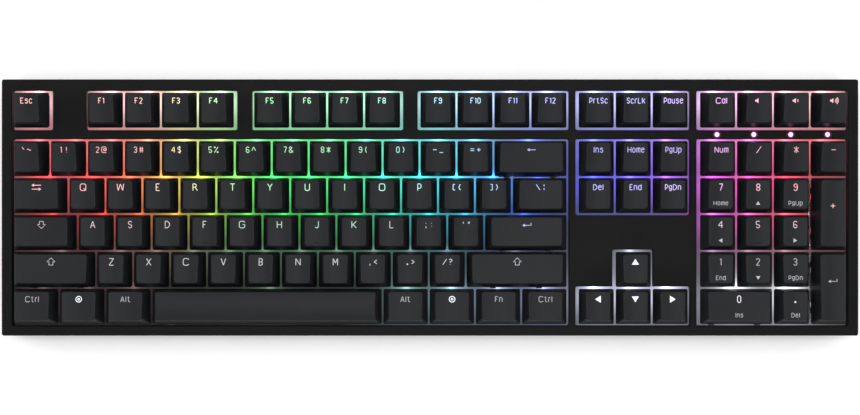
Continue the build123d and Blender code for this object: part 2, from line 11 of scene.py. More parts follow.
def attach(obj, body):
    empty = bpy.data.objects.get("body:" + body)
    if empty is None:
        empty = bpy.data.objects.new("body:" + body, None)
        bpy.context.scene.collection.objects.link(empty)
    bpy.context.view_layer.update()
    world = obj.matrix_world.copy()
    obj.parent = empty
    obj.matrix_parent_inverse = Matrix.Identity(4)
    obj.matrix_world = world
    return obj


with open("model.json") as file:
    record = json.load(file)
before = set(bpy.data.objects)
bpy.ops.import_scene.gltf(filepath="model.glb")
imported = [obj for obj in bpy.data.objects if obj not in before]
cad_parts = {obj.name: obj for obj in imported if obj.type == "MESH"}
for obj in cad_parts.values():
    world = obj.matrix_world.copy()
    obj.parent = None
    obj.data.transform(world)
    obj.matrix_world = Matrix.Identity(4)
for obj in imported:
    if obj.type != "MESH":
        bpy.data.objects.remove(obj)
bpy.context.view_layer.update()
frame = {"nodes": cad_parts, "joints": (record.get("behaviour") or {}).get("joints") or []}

# ---- The deck: tilted frame of the keys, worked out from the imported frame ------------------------

MM = 0.001
UNIT = 19.05 * MM
BLOCK_GAP = 5.4 * MM
ROW_GAP = 5.95 * MM
ROWS = 6
GRID_SHIFT = -0.4 * MM
RIM = 4.5 * MM
SIDE_MARGIN, END_MARGIN = 1.0 * MM, 0.65 * MM

press = next(j for j in frame["joints"] if j["name"] == "escape_key_press")
NORMAL = -Vector(press["axis"]).normalized()
ACROSS = Vector((1, 0, 0))
BACK = NORMAL.cross(ACROSS).normalized()


def deck_origin():
    """Middle of the plate's top face."""
    points = np.array([v.co for v in frame["nodes"]["switch_plate"].data.vertices])
    along = points @ np.array(BACK)
    up = points @ np.array(NORMAL)
    return BACK * float(along.min() + along.max()) / 2 + NORMAL * float(up.max())


ORIGIN = deck_origin()
DECK = Matrix.Translation(ORIGIN) @ Matrix((ACROSS, BACK, NORMAL)).transposed().to_4x4()

GRID_WIDTH = 22 * UNIT + 2 * BLOCK_GAP
GRID_DEPTH = ROWS * UNIT + ROW_GAP
MAIN = -GRID_WIDTH / 2
NAV = MAIN + 15 * UNIT + BLOCK_GAP
PAD = NAV + 3 * UNIT + BLOCK_GAP
BLOCKS = {"main": MAIN, "nav": NAV, "pad": PAD}


def row_v(row):
    """Middle of a row of keys; row 0 is the function row at the rear."""
    return GRID_SHIFT + GRID_DEPTH / 2 - (ROW_GAP if row else 0) - (row + 0.5) * UNIT


# Each run of keys: body, block, row, first unit, width in units, legends from left to right.
# A legend is its text, or a drawn sign's name after a colon; a bar splits upper and lower legends.
RUNS = [
    ("escape_key", "main", 0, 0, 1, ["Esc"]),
    ("f1_to_f4_keys", "main", 0, 2, 1, ["F1", "F2", "F3", "F4"]),
    ("f5_to_f8_keys", "main", 0, 6.5, 1, ["F5", "F6", "F7", "F8"]),
    ("f9_to_f12_keys", "main", 0, 11, 1, ["F9", "F10", "F11", "F12"]),
    ("print_screen_keys", "nav", 0, 0, 1, ["PrtSc", "ScrLk", "Pause"]),
    ("media_keys", "pad", 0, 0, 1, ["Cal", ":mute", ":quiet", ":loud"]),
    ("number_row_keys", "main", 1, 0, 1,
     ["` ~", "1 !", "2 @", "3 #", "4 $", "5 %", "6 ^", "7 &", "8 *", "9 (", "0 )", "- _", "= +"]),
    ("backspace_key", "main", 1, 13, 2, [":left_line"]),
    ("navigation_keys", "nav", 1, 0, 1, ["Ins", "Home", "PgUp"]),
    ("navigation_keys", "nav", 2, 0, 1, ["Del", "End", "PgDn"]),
    ("pad_operator_keys", "pad", 1, 0, 1, ["Num", "/", "*", "-"]),
    ("tab_key", "main", 2, 0, 1.5, [":tab"]),
    ("upper_letter_keys", "main", 2, 1.5, 1, list("QWERTYUIOP") + ["[ {", "] }"]),
    ("backslash_key", "main", 2, 13.5, 1.5, ["\\ |"]),
    ("pad_789_keys", "pad", 2, 0, 1, ["7|Home", "8|:up", "9|PgUp"]),
    ("caps_lock_key", "main", 3, 0, 1.75, [":caps"]),
    ("home_row_keys", "main", 3, 1.75, 1, list("ASDFGHJKL") + ["; :", "' \""]),
    ("enter_key", "main", 3, 12.75, 2.25, [":enter"]),
    ("pad_456_keys", "pad", 3, 0, 1, ["4|:left", "5", "6|:right"]),
    ("left_shift_key", "main", 4, 0, 2.25, [":shift"]),
    ("lower_letter_keys", "main", 4, 2.25, 1, list("ZXCVBNM") + [", <", ". >", "/ ?"]),
    ("right_shift_key", "main", 4, 12.25, 2.75, [":shift"]),
    ("up_arrow_key", "nav", 4, 1, 1, [":up"]),
    ("pad_123_keys", "pad", 4, 0, 1, ["1|End", "2|:down", "3|PgDn"]),
    ("modifier_keys", "main", 5, 0, 1.25, ["Ctrl", ":ring", "Alt"]),
    ("space_bar", "main", 5, 3.75, 6.25, [""]),
    ("modifier_keys", "main", 5, 10, 1.25, ["Alt", ":ring", "Fn", "Ctrl"]),
    ("left_arrow_key", "nav", 5, 0, 1, [":left"]),
    ("down_arrow_key", "nav", 5, 1, 1, [":down"]),
    ("right_arrow_key", "nav", 5, 2, 1, [":right"]),
    ("pad_zero_key", "pad", 5, 0, 2, ["0|Ins"]),
    ("pad_decimal_key", "pad", 5, 2, 1, [".|Del"]),
]
TALL = [("pad_plus_key", 2, "+"), ("pad_enter_key", 4, ":enter")]


def all_keys():
    """Every key as (body, u, v, row, width, legend)."""
    keys = []
    for body, block, row, start, width, legends in RUNS:
        for i, legend in enumerate(legends):
            u = BLOCKS[block] + (start + (i + 0.5) * width) * UNIT
            keys.append((body, u, row_v(row), row, width, legend))
    for body, row, legend in TALL:
        keys.append((body, PAD + 3.5 * UNIT, (row_v(row) + row_v(row + 1)) / 2, row, 1, legend))
    return keys


KEYS = all_keys()

# ---- The lights' colours -------------------------------------------------------------------------

# hue runs once round the colour circle from left to right: share of the width, colour (sRGB)
RAINBOW = [
    (0.00, (255, 25, 60)), (0.10, (255, 30, 30)), (0.155, (255, 105, 35)), (0.20, (255, 220, 60)),
    (0.245, (150, 255, 60)), (0.29, (45, 250, 90)), (0.38, (20, 250, 110)), (0.42, (25, 250, 155)),
    (0.465, (30, 250, 220)), (0.51, (40, 235, 255)), (0.555, (45, 195, 255)),
    (0.60, (45, 105, 255)),
    (0.66, (45, 60, 255)), (0.72, (65, 75, 255)), (0.77, (120, 75, 255)), (0.82, (200, 60, 250)),
    (0.86, (255, 60, 225)), (0.905, (255, 30, 120)), (0.945, (255, 20, 50)), (1.00, (255, 20, 30)),
]
# for each row: share of white, brightness of its lights; some blocks differ
ROW_LIGHT = [(0.50, 2.00), (0.10, 1.30), (0.02, 1.25), (0.05, 0.42), (0.70, 0.10), (0.60, 0.05)]
BLOCK_LIGHT = {
    ("pad", 3): (0.10, 0.80), ("nav", 4): (0.80, 0.45), ("pad", 4): (0.60, 0.22),
    ("nav", 5): (0.80, 1.10), ("pad", 5): (0.95, 1.60),
}
# the bottom row brightens from left to right: share of the width, brightness
BOTTOM_LIGHT = [(0.10, 0.06), (0.30, 0.11), (0.42, 0.16), (0.50, 0.50), (0.65, 0.65)]
COOL_WHITE = np.array((0.90, 0.95, 1.0))


def linear(colour):
    """sRGB 0 to 255 as linear light."""
    c = np.asarray(colour, float) / 255
    return np.where(c <= 0.04045, c / 12.92, ((c + 0.055) / 1.055) ** 2.4)


STOPS = np.array([share for share, _ in RAINBOW])
HUES = np.array([linear(colour) for _, colour in RAINBOW])


def hue_at(u):
    share = np.clip(u / GRID_WIDTH + 0.5, 0, 1)
    return np.array([np.interp(share, STOPS, HUES[:, i]) for i in range(3)])


def block_at(u):
    return "pad" if u > PAD else "nav" if u > NAV else "main"


def light_of(u, row):
    """Share of white and brightness of the light under a key."""
    block = block_at(u)
    white, level = BLOCK_LIGHT.get((block, row), ROW_LIGHT[row])
    if block == "main" and row == ROWS - 1:
        level = float(np.interp(u / GRID_WIDTH + 0.5, *zip(*BOTTOM_LIGHT)))
    return white, level


def key_light(u, row):
    """Colour of the light under a key, linear."""
    white, level = light_of(u, row)
    return (hue_at(u) * (1 - white) + COOL_WHITE * white) * level


# each light sits behind the middle of its switch; it is no lamp in the scene, only the source of the
# painted light on the plate
LIGHT_V = 4.6 * MM
LIGHTS = [(u, v + LIGHT_V, key_light(u, row)) for _, u, v, row, _, _ in KEYS]
SPREAD = 7.0 * MM
REACH_LIMIT = 5
# painted highlights: bright spots where the light escapes behind a switch
SPOT_V, SPOT_LEAN, SPOT_SPREAD, SPOT_LEVEL = 5.4 * MM, 0.012, 1.9 * MM, 0.8
# painted pale highlight on the white plate, added to its painted light: share of the hue, brightness
PAINTED_SHEEN_HUE, PAINTED_SHEEN = 0.45, 0.04


def painted_glow_at(u, v):
    """Painted light: the light that reaches a place on the plate from all the keys' lights, as a
    colour.
    """
    total, near, painted_sheen = np.zeros(3), 1e-6, np.zeros(3)
    for light_u, light_v, colour in LIGHTS:
        square = ((u - light_u) ** 2 + (v - light_v) ** 2) / SPREAD ** 2
        if square > REACH_LIMIT ** 2:
            continue
        reach = 1 / (1 + square) ** 2
        spot_u = light_u * (1 - SPOT_LEAN)
        spot = ((u - spot_u) ** 2 + (v - light_v - SPOT_V) ** 2) / SPOT_SPREAD ** 2
        total += colour * (reach + SPOT_LEVEL * math.exp(-spot))
        white = float(colour.max()) * COOL_WHITE
        painted_sheen += reach * (colour * PAINTED_SHEEN_HUE + white * (1 - PAINTED_SHEEN_HUE))
        near += reach
    return total + painted_sheen / near * PAINTED_SHEEN


# ---- Materials -----------------------------------------------------------------------------------

CLOUD_SCALE, CLOUD_DETAIL, CLOUD_LOW, CLOUD_HIGH = 45.0, 4.0, 0.3, 0.7
SPARK_DETAIL, SPARK_DEPTH = 2.0, 0.05 * MM
GLOSS_SPREAD = 0.06
LINES_SCALE, LINES_DETAIL, LINES_BUMP, LINES_DEPTH = 900.0, 3.0, 0.1, 0.02 * MM
METAL_SMOOTHER, METAL_ROUGHER = 0.08, 0.12
MOTTLE_SCALE, MOTTLE_SPREAD, LIT_SPECULAR = 600.0, 0.1, 0.15
PIPE_BASE, PIPE_ROUGHNESS, PIPE_GRAIN_MM, PIPE_GRAIN = (0.4, 0.35, 0.4), 0.2, 0.8, 0.05


def new_material(name):
    material = bpy.data.materials.new(name)
    material.use_nodes = True
    nodes = material.node_tree.nodes
    return material, nodes, material.node_tree.links, nodes["Principled BSDF"]


def plastic(name, colour, roughness, grain_mm, grain, specular=0.5, spread=0.12):
    """Moulded plastic: base colour that varies a little, fine spark grain, roughness patches."""
    material, nodes, links, shader = new_material(name)
    place = nodes.new("ShaderNodeTexCoord")
    cloud = nodes.new("ShaderNodeTexNoise")
    cloud.inputs["Scale"].default_value = CLOUD_SCALE
    cloud.inputs["Detail"].default_value = CLOUD_DETAIL
    links.new(place.outputs["Object"], cloud.inputs["Vector"])
    tint = nodes.new("ShaderNodeValToRGB")
    dark = [c * (1 - spread) for c in colour]
    light = [c * (1 + spread) for c in colour]
    tint.color_ramp.elements[0].position = CLOUD_LOW
    tint.color_ramp.elements[0].color = (*dark, 1)
    tint.color_ramp.elements[1].position = CLOUD_HIGH
    tint.color_ramp.elements[1].color = (*light, 1)
    links.new(cloud.outputs["Fac"], tint.inputs["Fac"])
    links.new(tint.outputs["Color"], shader.inputs["Base Color"])
    spark = nodes.new("ShaderNodeTexNoise")
    spark.inputs["Scale"].default_value = 1000 / grain_mm
    spark.inputs["Detail"].default_value = SPARK_DETAIL
    links.new(place.outputs["Object"], spark.inputs["Vector"])
    bump = nodes.new("ShaderNodeBump")
    bump.inputs["Strength"].default_value = grain
    bump.inputs["Distance"].default_value = SPARK_DEPTH
    links.new(spark.outputs["Fac"], bump.inputs["Height"])
    links.new(bump.outputs["Normal"], shader.inputs["Normal"])
    gloss = nodes.new("ShaderNodeMapRange")
    gloss.inputs["To Min"].default_value = roughness - GLOSS_SPREAD
    gloss.inputs["To Max"].default_value = roughness + GLOSS_SPREAD
    links.new(cloud.outputs["Fac"], gloss.inputs["Value"])
    links.new(gloss.outputs["Result"], shader.inputs["Roughness"])
    shader.inputs["Specular IOR Level"].default_value = specular
    return material


def metal(name, colour, roughness, stretch=(1, 1, 1)):
    """Drawn or brushed metal with fine lines."""
    material, nodes, links, shader = new_material(name)
    place = nodes.new("ShaderNodeTexCoord")
    scale = nodes.new("ShaderNodeMapping")
    scale.inputs["Scale"].default_value = stretch
    lines = nodes.new("ShaderNodeTexNoise")
    lines.inputs["Scale"].default_value = LINES_SCALE
    lines.inputs["Detail"].default_value = LINES_DETAIL
    links.new(place.outputs["Object"], scale.inputs["Vector"])
    links.new(scale.outputs["Vector"], lines.inputs["Vector"])
    gloss = nodes.new("ShaderNodeMapRange")
    gloss.inputs["To Min"].default_value = roughness - METAL_SMOOTHER
    gloss.inputs["To Max"].default_value = roughness + METAL_ROUGHER
    links.new(lines.outputs["Fac"], gloss.inputs["Value"])
    links.new(gloss.outputs["Result"], shader.inputs["Roughness"])
    bump = nodes.new("ShaderNodeBump")
    bump.inputs["Strength"].default_value = LINES_BUMP
    bump.inputs["Distance"].default_value = LINES_DEPTH
    links.new(lines.outputs["Fac"], bump.inputs["Height"])
    links.new(bump.outputs["Normal"], shader.inputs["Normal"])
    shader.inputs["Base Color"].default_value = (*colour, 1)
    shader.inputs["Metallic"].default_value = 1.0
    return material


def lit(name, strength, base, roughness=0.5):
    """Surface of painted light: it glows in the colour stored on its points, faintly mottled."""
    material, nodes, links, shader = new_material(name)
    glow = nodes.new("ShaderNodeAttribute")
    glow.attribute_name = "glow"
    place = nodes.new("ShaderNodeTexCoord")
    mottle = nodes.new("ShaderNodeTexNoise")
    mottle.inputs["Scale"].default_value = MOTTLE_SCALE
    links.new(place.outputs["Object"], mottle.inputs["Vector"])
    level = nodes.new("ShaderNodeMapRange")
    level.inputs["To Min"].default_value = strength * (1 - MOTTLE_SPREAD)
    level.inputs["To Max"].default_value = strength * (1 + MOTTLE_SPREAD)
    links.new(mottle.outputs["Fac"], level.inputs["Value"])
    links.new(glow.outputs["Color"], shader.inputs["Emission Color"])
    links.new(level.outputs["Result"], shader.inputs["Emission Strength"])
    shader.inputs["Base Color"].default_value = (*base, 1)
    shader.inputs["Roughness"].default_value = roughness
    shader.inputs["Specular IOR Level"].default_value = LIT_SPECULAR
    return material


def signal(name, colour, strength):
    """Clear light pipe, lit from its foot."""
    material = plastic(name, PIPE_BASE, PIPE_ROUGHNESS, PIPE_GRAIN_MM, PIPE_GRAIN)
    shader = material.node_tree.nodes["Principled BSDF"]
    shader.inputs["Emission Color"].default_value = (*colour, 1)
    shader.inputs["Emission Strength"].default_value = strength
    return material


CAP = plastic("keycap_plastic", (0.0105, 0.0112, 0.0130), 0.42, 0.28, 0.35, specular=0.14)
CASE = plastic("case_plastic", (0.0066, 0.0066, 0.0067), 0.40, 0.22, 0.45, specular=0.06)
UNDER = plastic("underside_plastic", (0.010, 0.010, 0.0105), 0.6, 0.5, 0.8, specular=0.35)
PLATE = plastic("white_plate", (0.78, 0.78, 0.80), 0.42, 0.6, 0.3, spread=0.03)
HOUSING = plastic("black_housing", (0.015, 0.015, 0.016), 0.4, 0.4, 0.3)
CLEAR = plastic("clear_housing", (0.62, 0.64, 0.66), 0.16, 1.2, 0.08, spread=0.03)
BOARD = plastic("board", (0.010, 0.028, 0.016), 0.35, 0.8, 0.2)
RUBBER = plastic("foot_rubber", (0.018, 0.018, 0.018), 0.85, 0.35, 0.9, specular=0.2)
STEEL = metal("steel", (0.58, 0.58, 0.60), 0.28, (1, 12, 12))
BRASS = metal("contact_brass", (0.70, 0.52, 0.24), 0.30)
# legends glow with painted light in the colour stored on their points, over a grey base
LEGEND = lit("legend", 1.0, (0.28, 0.28, 0.29), 0.45)
# painted light on the plate: glowing sheets whose near-black base hides the white plate, as painted
# shade deep between the caps
PAINTED_PLATE_LIGHT = lit("plate_painted_glow", 2.3, (0.03, 0.03, 0.03), 0.5)
# painted light spilt from the indicator lights onto the case
HALO = lit("signal_halo", 1.0, (0.008, 0.008, 0.0082), 0.4)
SIGNAL = signal("light_pipe", (1.0, 0.42, 0.86), 1.5)

NODE_MATERIALS = {
    "top_case": CASE, "bottom_case": UNDER, "switch_plate": PLATE, "circuit_board": BOARD,
    "lower_switch_housings": HOUSING, "upper_switch_housings": CLEAR, "switch_springs": STEEL,
    "switch_contacts": BRASS, "leds": CLEAR, "light_pipes": SIGNAL, "stabiliser_housings": HOUSING,
    "usb_socket": STEEL, "controller_chip": HOUSING, "case_screws": STEEL, "rubber_feet": RUBBER,
    "foot_pins": STEEL,
}


def paint_nodes():
    """Every carried-over CAD node gets its material."""
    for name, node in frame["nodes"].items():
        material = NODE_MATERIALS.get(name)
        if material is None:
            material = STEEL if name.endswith("wire") else UNDER if name.endswith("foot") else CAP
        node.data.materials.clear()
        node.data.materials.append(material)


# ---- Legends -------------------------------------------------------------------------------------

LEGEND_RISE = 0.035 * MM
LEGEND_THICK = 0.05 * MM
LINE = 0.40

# Strokes of each character: points as column and line digits on a grid, strokes split by bars.
# Line 2 is the baseline, 6 the top of a small letter and 8 the top of a capital.
GLYPHS = {
    "A": "02 28 42|14 34", "B": "02 08 28 37 36 25 05|25 34 33 22 02",
    "C": "57 48 18 07 03 12 42 53",
    "D": "02 08 28 46 44 22 02", "E": "38 08 02 32|05 25", "F": "38 08 02|05 25",
    "G": "57 48 18 07 03 12 42 53 55 35", "H": "02 08|48 42|05 45", "I": "02 08",
    "J": "38 33 22 12 03",
    "K": "02 08|48 04|15 42", "L": "08 02 32", "M": "02 08 24 48 42", "N": "02 08 42 48",
    "O": "18 48 57 53 42 12 03 07 18", "P": "02 08 28 37 35 24 04",
    "Q": "18 48 57 53 42 12 03 07 18|34 52",
    "R": "02 08 28 37 36 25 05|25 42", "S": "37 28 18 07 06 15 25 34 33 22 12 03",
    "T": "08 48|28 22",
    "U": "08 03 12 32 43 48", "V": "08 22 48", "W": "08 12 38 52 68", "X": "08 42|02 48",
    "Y": "08 25 48|25 22", "Z": "08 48 02 42",
    "a": "36 27 17 06 03 12 22 33|37 32", "c": "36 27 17 06 03 12 22 33",
    "d": "36 27 17 06 03 12 22 33|38 32", "e": "05 35 36 27 17 06 03 12 22 33",
    "g": "36 27 17 06 04 13 23 34|37 32 21 11 02", "k": "08 02|37 04|15 32", "l": "08 02",
    "m": "02 07|06 17 27 26 22|26 37 47 46 42", "n": "02 07|06 17 27 36 32",
    "o": "17 27 36 33 22 12 03 06 17",
    "p": "00 07|06 17 27 36 33 22 12 03", "r": "02 07|06 17 27",
    "s": "36 27 17 06 15 25 34 33 22 12 03",
    "t": "18 13 22 32|07 27", "u": "07 03 12 22 33|37 32",
    "0": "18 28 37 33 22 12 03 07 18", "1": "07 18 12", "2": "07 18 28 37 36 02 32",
    "3": "07 18 28 37 36 25 15|25 34 33 22 12 03", "4": "32 38 04 44",
    "5": "38 08 05 25 34 33 22 12 03",
    "6": "37 28 18 07 03 12 22 33 34 25 05", "7": "08 38 12",
    "8": "15 25 36 37 28 18 07 06 15 04 03 12 22 33 34 25", "9": "03 12 22 33 37 28 18 07 06 15 35",
    "`": "08 25", "~": "05 16 34 45", "!": "08 04|02 02",
    "@": "52 12 03 07 18 48 57 54 24 26 46 44",
    "#": "12 18|32 38|04 44|06 46", "$": "37 28 18 07 06 15 25 34 33 22 12 03|21 29",
    "%": "48 02|08 18 17 07 08|33 43 42 32 33", "^": "04 28 44",
    "&": "42 07 18 28 37 04 03 12 22 44",
    "*": "28 22|07 43|03 47", "(": "18 06 04 12", ")": "08 16 14 02", "-": "05 45", "_": "02 42",
    "=": "04 44|06 46", "+": "05 45|23 27", "[": "28 08 02 22", "]": "08 28 22 02",
    "{": "28 17 16 05 14 13 22", "}": "08 17 16 25 14 13 02", "\\": "08 42", "|": "08 06|04 02",
    ";": "06 06|03 01", ":": "06 06|03 03", "'": "08 06", '"': "08 06|18 16", ",": "03 01",
    "<": "37 05 33", ".": "02 12 13 03 02", ">": "07 35 03", "/": "02 48",
    "?": "07 18 28 37 36 15 14|12 12",
}
# grid steps: between characters, between the two of a pair, room for each of a pair
GLYPH_GAP, PAIR_GAP, PAIR_WIDTH = 1.9, 2.9, 3
# how far from a corner its rounding starts, and where along it points are set
ROUNDING = 0.55
ROUND_STEPS = (0, 0.33, 0.67, 1)
BASELINE, CAP_STEPS = 2, 6
DOT = 0.5
HEAD_HALF = 0.62


def arc(radius, start, end, steps=14):
    """Stroke along a circle's arc, angles in degrees."""
    angles = [math.radians(start + (end - start) * i / steps) for i in range(steps + 1)]
    return [(radius * math.cos(a), radius * math.sin(a)) for a in angles]


def arrow_head(tip, direction, size):
    """Filled triangle."""
    dx, dy = direction
    base = (tip[0] - dx * size, tip[1] - dy * size)
    half = size * HEAD_HALF
    return [tip, (base[0] - dy * half, base[1] + dx * half),
            (base[0] + dy * half, base[1] - dx * half)]


SPEAKER = [(-2.0, -0.5), (-1.3, -0.5), (-0.2, -1.4), (-0.2, 1.4), (-1.3, 0.5), (-2.0, 0.5)]
BLOCK_ARROW = [
    (-1.0, 0), (-2.1, 0), (0, 2.0), (2.1, 0), (1.0, 0), (1.0, -1.6), (-1.0, -1.6), (-1.0, 0),
]
# Drawn signs in millimetres: filled shapes and strokes
SIGNS = {
    "up": ([arrow_head((0, 1.5), (0, 1), 2.9)], []),
    "down": ([arrow_head((0, -1.5), (0, -1), 2.9)], []),
    "left": ([arrow_head((-1.5, 0), (-1, 0), 2.9)], []),
    "right": ([arrow_head((1.5, 0), (1, 0), 2.9)], []),
    "left_line": ([arrow_head((-2.3, 0), (-1, 0), 1.3)], [[(-1.2, 0), (2.2, 0)]]),
    "tab": ([arrow_head((-2.5, 1.0), (-1, 0), 1.3), arrow_head((2.5, -1.0), (1, 0), 1.3)],
            [[(-1.4, 1.0), (2.4, 1.0)], [(-2.4, -1.0), (1.4, -1.0)]]),
    "enter": ([arrow_head((-2.3, -0.4), (-1, 0), 1.3)], [[(-1.2, -0.4), (2.2, -0.4), (2.2, 0.8)]]),
    "shift": ([], [BLOCK_ARROW]),
    "caps": ([], [[(x, -y) for x, y in BLOCK_ARROW]]),
    "ring": ([], [arc(1.45, 0, 360, 36), arc(0.45, 0, 360, 18)]),
    "mute": ([SPEAKER], []),
    "quiet": ([SPEAKER], [arc(1.0, -45, 45)]),
    "loud": ([SPEAKER], [arc(1.0, -45, 45), arc(1.75, -45, 45), arc(2.5, -45, 45)]),
}


def rounded(points):
    """A stroke's inner corners cut by short arcs."""
    soft = [points[0]]
    for before, corner, after in zip(points, points[1:], points[2:]):
        sides = []
        for other in (before, after):
            span = math.dist(corner, other)
            share = min(ROUNDING, span / 2) / span
            sides.append([c + (o - c) * share for c, o in zip(corner, other)])
        start, end = sides
        for t in ROUND_STEPS:
            soft.append([(1 - t) ** 2 * a + 2 * t * (1 - t) * c + t ** 2 * b
                         for a, c, b in zip(start, corner, end)])
    return soft + [points[-1]]


def glyph_strokes(letter):
    """A character's strokes in grid steps from its baseline."""
    strokes = []
    for stroke in GLYPHS[letter].split("|"):
        points = [(int(point[0]), int(point[1]) - BASELINE) for point in stroke.split()]
        if points[0] == points[1]:
            points[1] = (points[0][0], points[0][1] + DOT)
        strokes.append(rounded(points))
    return strokes


def text_strokes(text, height, stretch):
    """Generic lettering as strokes in millimetres, centred, with a cap height."""
    pair = " " in text
    gap = PAIR_GAP if pair else GLYPH_GAP
    cursor, strokes = 0, []
    for letter in text.replace(" ", ""):
        drawn = glyph_strokes(letter)
        width = max(x for stroke in drawn for x, _ in stroke)
        room = max(width, PAIR_WIDTH) if pair else width
        shift = cursor + (room - width) / 2
        strokes += [[(x + shift, y) for x, y in stroke] for stroke in drawn]
        cursor += room + gap
    step = height / CAP_STEPS
    middle = (cursor - gap) / 2
    half = CAP_STEPS / 2
    return [[((x - middle) * step * stretch, (y - half) * step) for x, y in stroke]
            for stroke in strokes]


def mark_mesh(fills, strokes, scale=1.0, line=LINE):
    """Fills and strokes, in millimetres, as flat closed solids."""
    bm = bmesh.new()
    for shape in fills:
        low, high = [[bm.verts.new((x * MM * scale, y * MM * scale, z)) for x, y in shape]
                     for z in (0, LEGEND_THICK)]
        bm.faces.new(high)
        bm.faces.new(low[::-1])
        for i in range(len(shape)):
            j = (i + 1) % len(shape)
            bm.faces.new((low[i], low[j], high[j], high[i]))
    bmesh.ops.recalc_face_normals(bm, faces=bm.faces)
    if strokes:
        add_strokes(bm, strokes, scale, line)
    return bm


def add_strokes(bm, strokes, scale, line):
    """Sweeps a round pen along the strokes and presses it flat."""
    curve = bpy.data.curves.new("pen", "CURVE")
    curve.dimensions = "3D"
    curve.bevel_depth = line * MM / 2
    curve.bevel_resolution = 1
    curve.use_fill_caps = True
    for points in strokes:
        closed = math.dist(points[0], points[-1]) < 1e-6
        points = points[:-1] if closed else points
        spline = curve.splines.new("POLY")
        spline.points.add(len(points) - 1)
        for spot, (x, y) in zip(spline.points, points):
            spot.co = (x * MM * scale, y * MM * scale, 0, 1)
        spline.use_cyclic_u = closed
    pen = bpy.data.objects.new("pen", curve)
    mesh = bpy.data.meshes.new_from_object(pen)
    bpy.data.objects.remove(pen)
    for vertex in mesh.vertices:
        vertex.co.z = LEGEND_THICK * (0.5 + vertex.co.z / (line * MM))
    bm.from_mesh(mesh)
    bpy.data.meshes.remove(mesh)


# places on the cap, and sizes in millimetres
UPPER_V, LOWER_V = 4.2 * MM, -3.9 * MM
LETTER_HEIGHT, PAIR_HEIGHT, WORD_HEIGHT, LOWER_HEIGHT = 3.4, 2.85, 2.7, 2.1
LOWER_LINE = 0.26
LOWER_STRETCH, LONG_STRETCH = 1.05, 0.93
LOWER_SIGN, SPEAKER_SIGN = 0.62, 0.92
SPEAKER_SIGNS = (":mute", ":quiet", ":loud")


def legend_parts(legend):
    """(mesh, height above the key's middle) for each mark on a key."""
    if not legend:
        return []
    marks = legend.split("|") if "|" in legend and legend != "\\ |" else [legend]
    parts = []
    for i, mark in enumerate(marks):
        lower = i == 1
        v = LOWER_V if lower else UPPER_V
        if mark.startswith(":"):
            scale = LOWER_SIGN if lower else SPEAKER_SIGN if mark in SPEAKER_SIGNS else 1.0
            parts.append((mark_mesh(*SIGNS[mark[1:]], scale), v))
            continue
        height = PAIR_HEIGHT if " " in mark else WORD_HEIGHT
        height = LOWER_HEIGHT if lower else LETTER_HEIGHT if len(mark) == 1 else height
        line = LOWER_LINE if lower else LINE
        stretch = LOWER_STRETCH if lower else LONG_STRETCH if len(mark) > 3 else 1.0
        parts.append((mark_mesh([], text_strokes(mark, height, stretch), line=line), v))
    return parts


def cap_tree(body):
    """Ray target of a key body's caps."""
    node = frame["nodes"][body]
    mesh = node.data
    return BVHTree.FromPolygons([v.co for v in mesh.vertices], [p.vertices for p in mesh.polygons])


# heights over the plate: where rays start, and where a point lies whose ray misses
RAY_START, MISSED = 40 * MM, 15 * MM


def settle(bm, tree, u, v):
    """Lays a flat legend on the dished top below it."""
    for vert in bm.verts:
        start = DECK @ Vector((u + vert.co.x, v + vert.co.y, RAY_START))
        hit = tree.ray_cast(start, -NORMAL)[0]
        if hit is None:
            hit = start - NORMAL * (RAY_START - MISSED)
        vert.co = hit + NORMAL * (vert.co.z + LEGEND_RISE)


# lower legends are only printed, yet get a faint painted glow over their grey print; the two ring
# keys get the brightest painted glow of their row
PRINT_PAINTED_GLOW = np.array((0.22, 0.23, 0.25))
RING_PAINTED_GLOW = np.array((0.86, 0.92, 0.95))
LEGEND_WHITE = np.array((0.92, 0.94, 1.0))
# painted glow of the legends, for the light shining through them: for each row, share of white in its
# legends, their brightness; some blocks differ
LEGEND_LIGHT = [(0.33, 0.92), (0.26, 0.60), (0.30, 0.84), (0.60, 0.42), (0.90, 0.34), (0.92, 0.10)]
BLOCK_LEGENDS = {
    ("pad", 3): (0.55, 0.48), ("nav", 4): (0.97, 1.00), ("pad", 4): (0.80, 0.18),
    ("nav", 5): (0.97, 1.00), ("pad", 5): (0.88, 0.70),
}


def legend_painted_glow(u, row):
    """Painted glow of the legends, paler than the light under them."""
    white, level = BLOCK_LEGENDS.get((block_at(u), row), LEGEND_LIGHT[row])
    return (hue_at(u) * (1 - white) + LEGEND_WHITE * white) * level


def add_object(name, mesh, material, body):
    piece = bpy.data.objects.new(name, mesh)
    bpy.context.scene.collection.objects.link(piece)
    mesh.materials.append(material)
    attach(piece, body)
    return piece


def make_legends():
    """One piece of lettering per key body."""
    for body in sorted({key[0] for key in KEYS}):
        tree = cap_tree(body)
        whole = bmesh.new()
        glow = whole.verts.layers.float_color.new("glow")
        for _, u, v, row, _, legend in [key for key in KEYS if key[0] == body]:
            painted_glow_colour = legend_painted_glow(u, row)
            for part, rise in legend_parts(legend):
                # each mark's painted glow: faint on printed marks, brightest on the ring keys
                colour = PRINT_PAINTED_GLOW if rise < 0 else RING_PAINTED_GLOW if legend == ":ring" else painted_glow_colour
                settle(part, tree, u, v + rise)
                mesh = bpy.data.meshes.new("mark")
                part.to_mesh(mesh)
                part.free()
                first = len(whole.verts)
                whole.from_mesh(mesh)
                bpy.data.meshes.remove(mesh)
                whole.verts.ensure_lookup_table()
                for vert in whole.verts[first:]:
                    vert[glow] = (*colour, 1.0)
        if len(whole.verts):
            mesh = bpy.data.meshes.new(body + "_legends")
            whole.to_mesh(mesh)
            add_object(body + "_legends", mesh, LEGEND, body)
        whole.free()


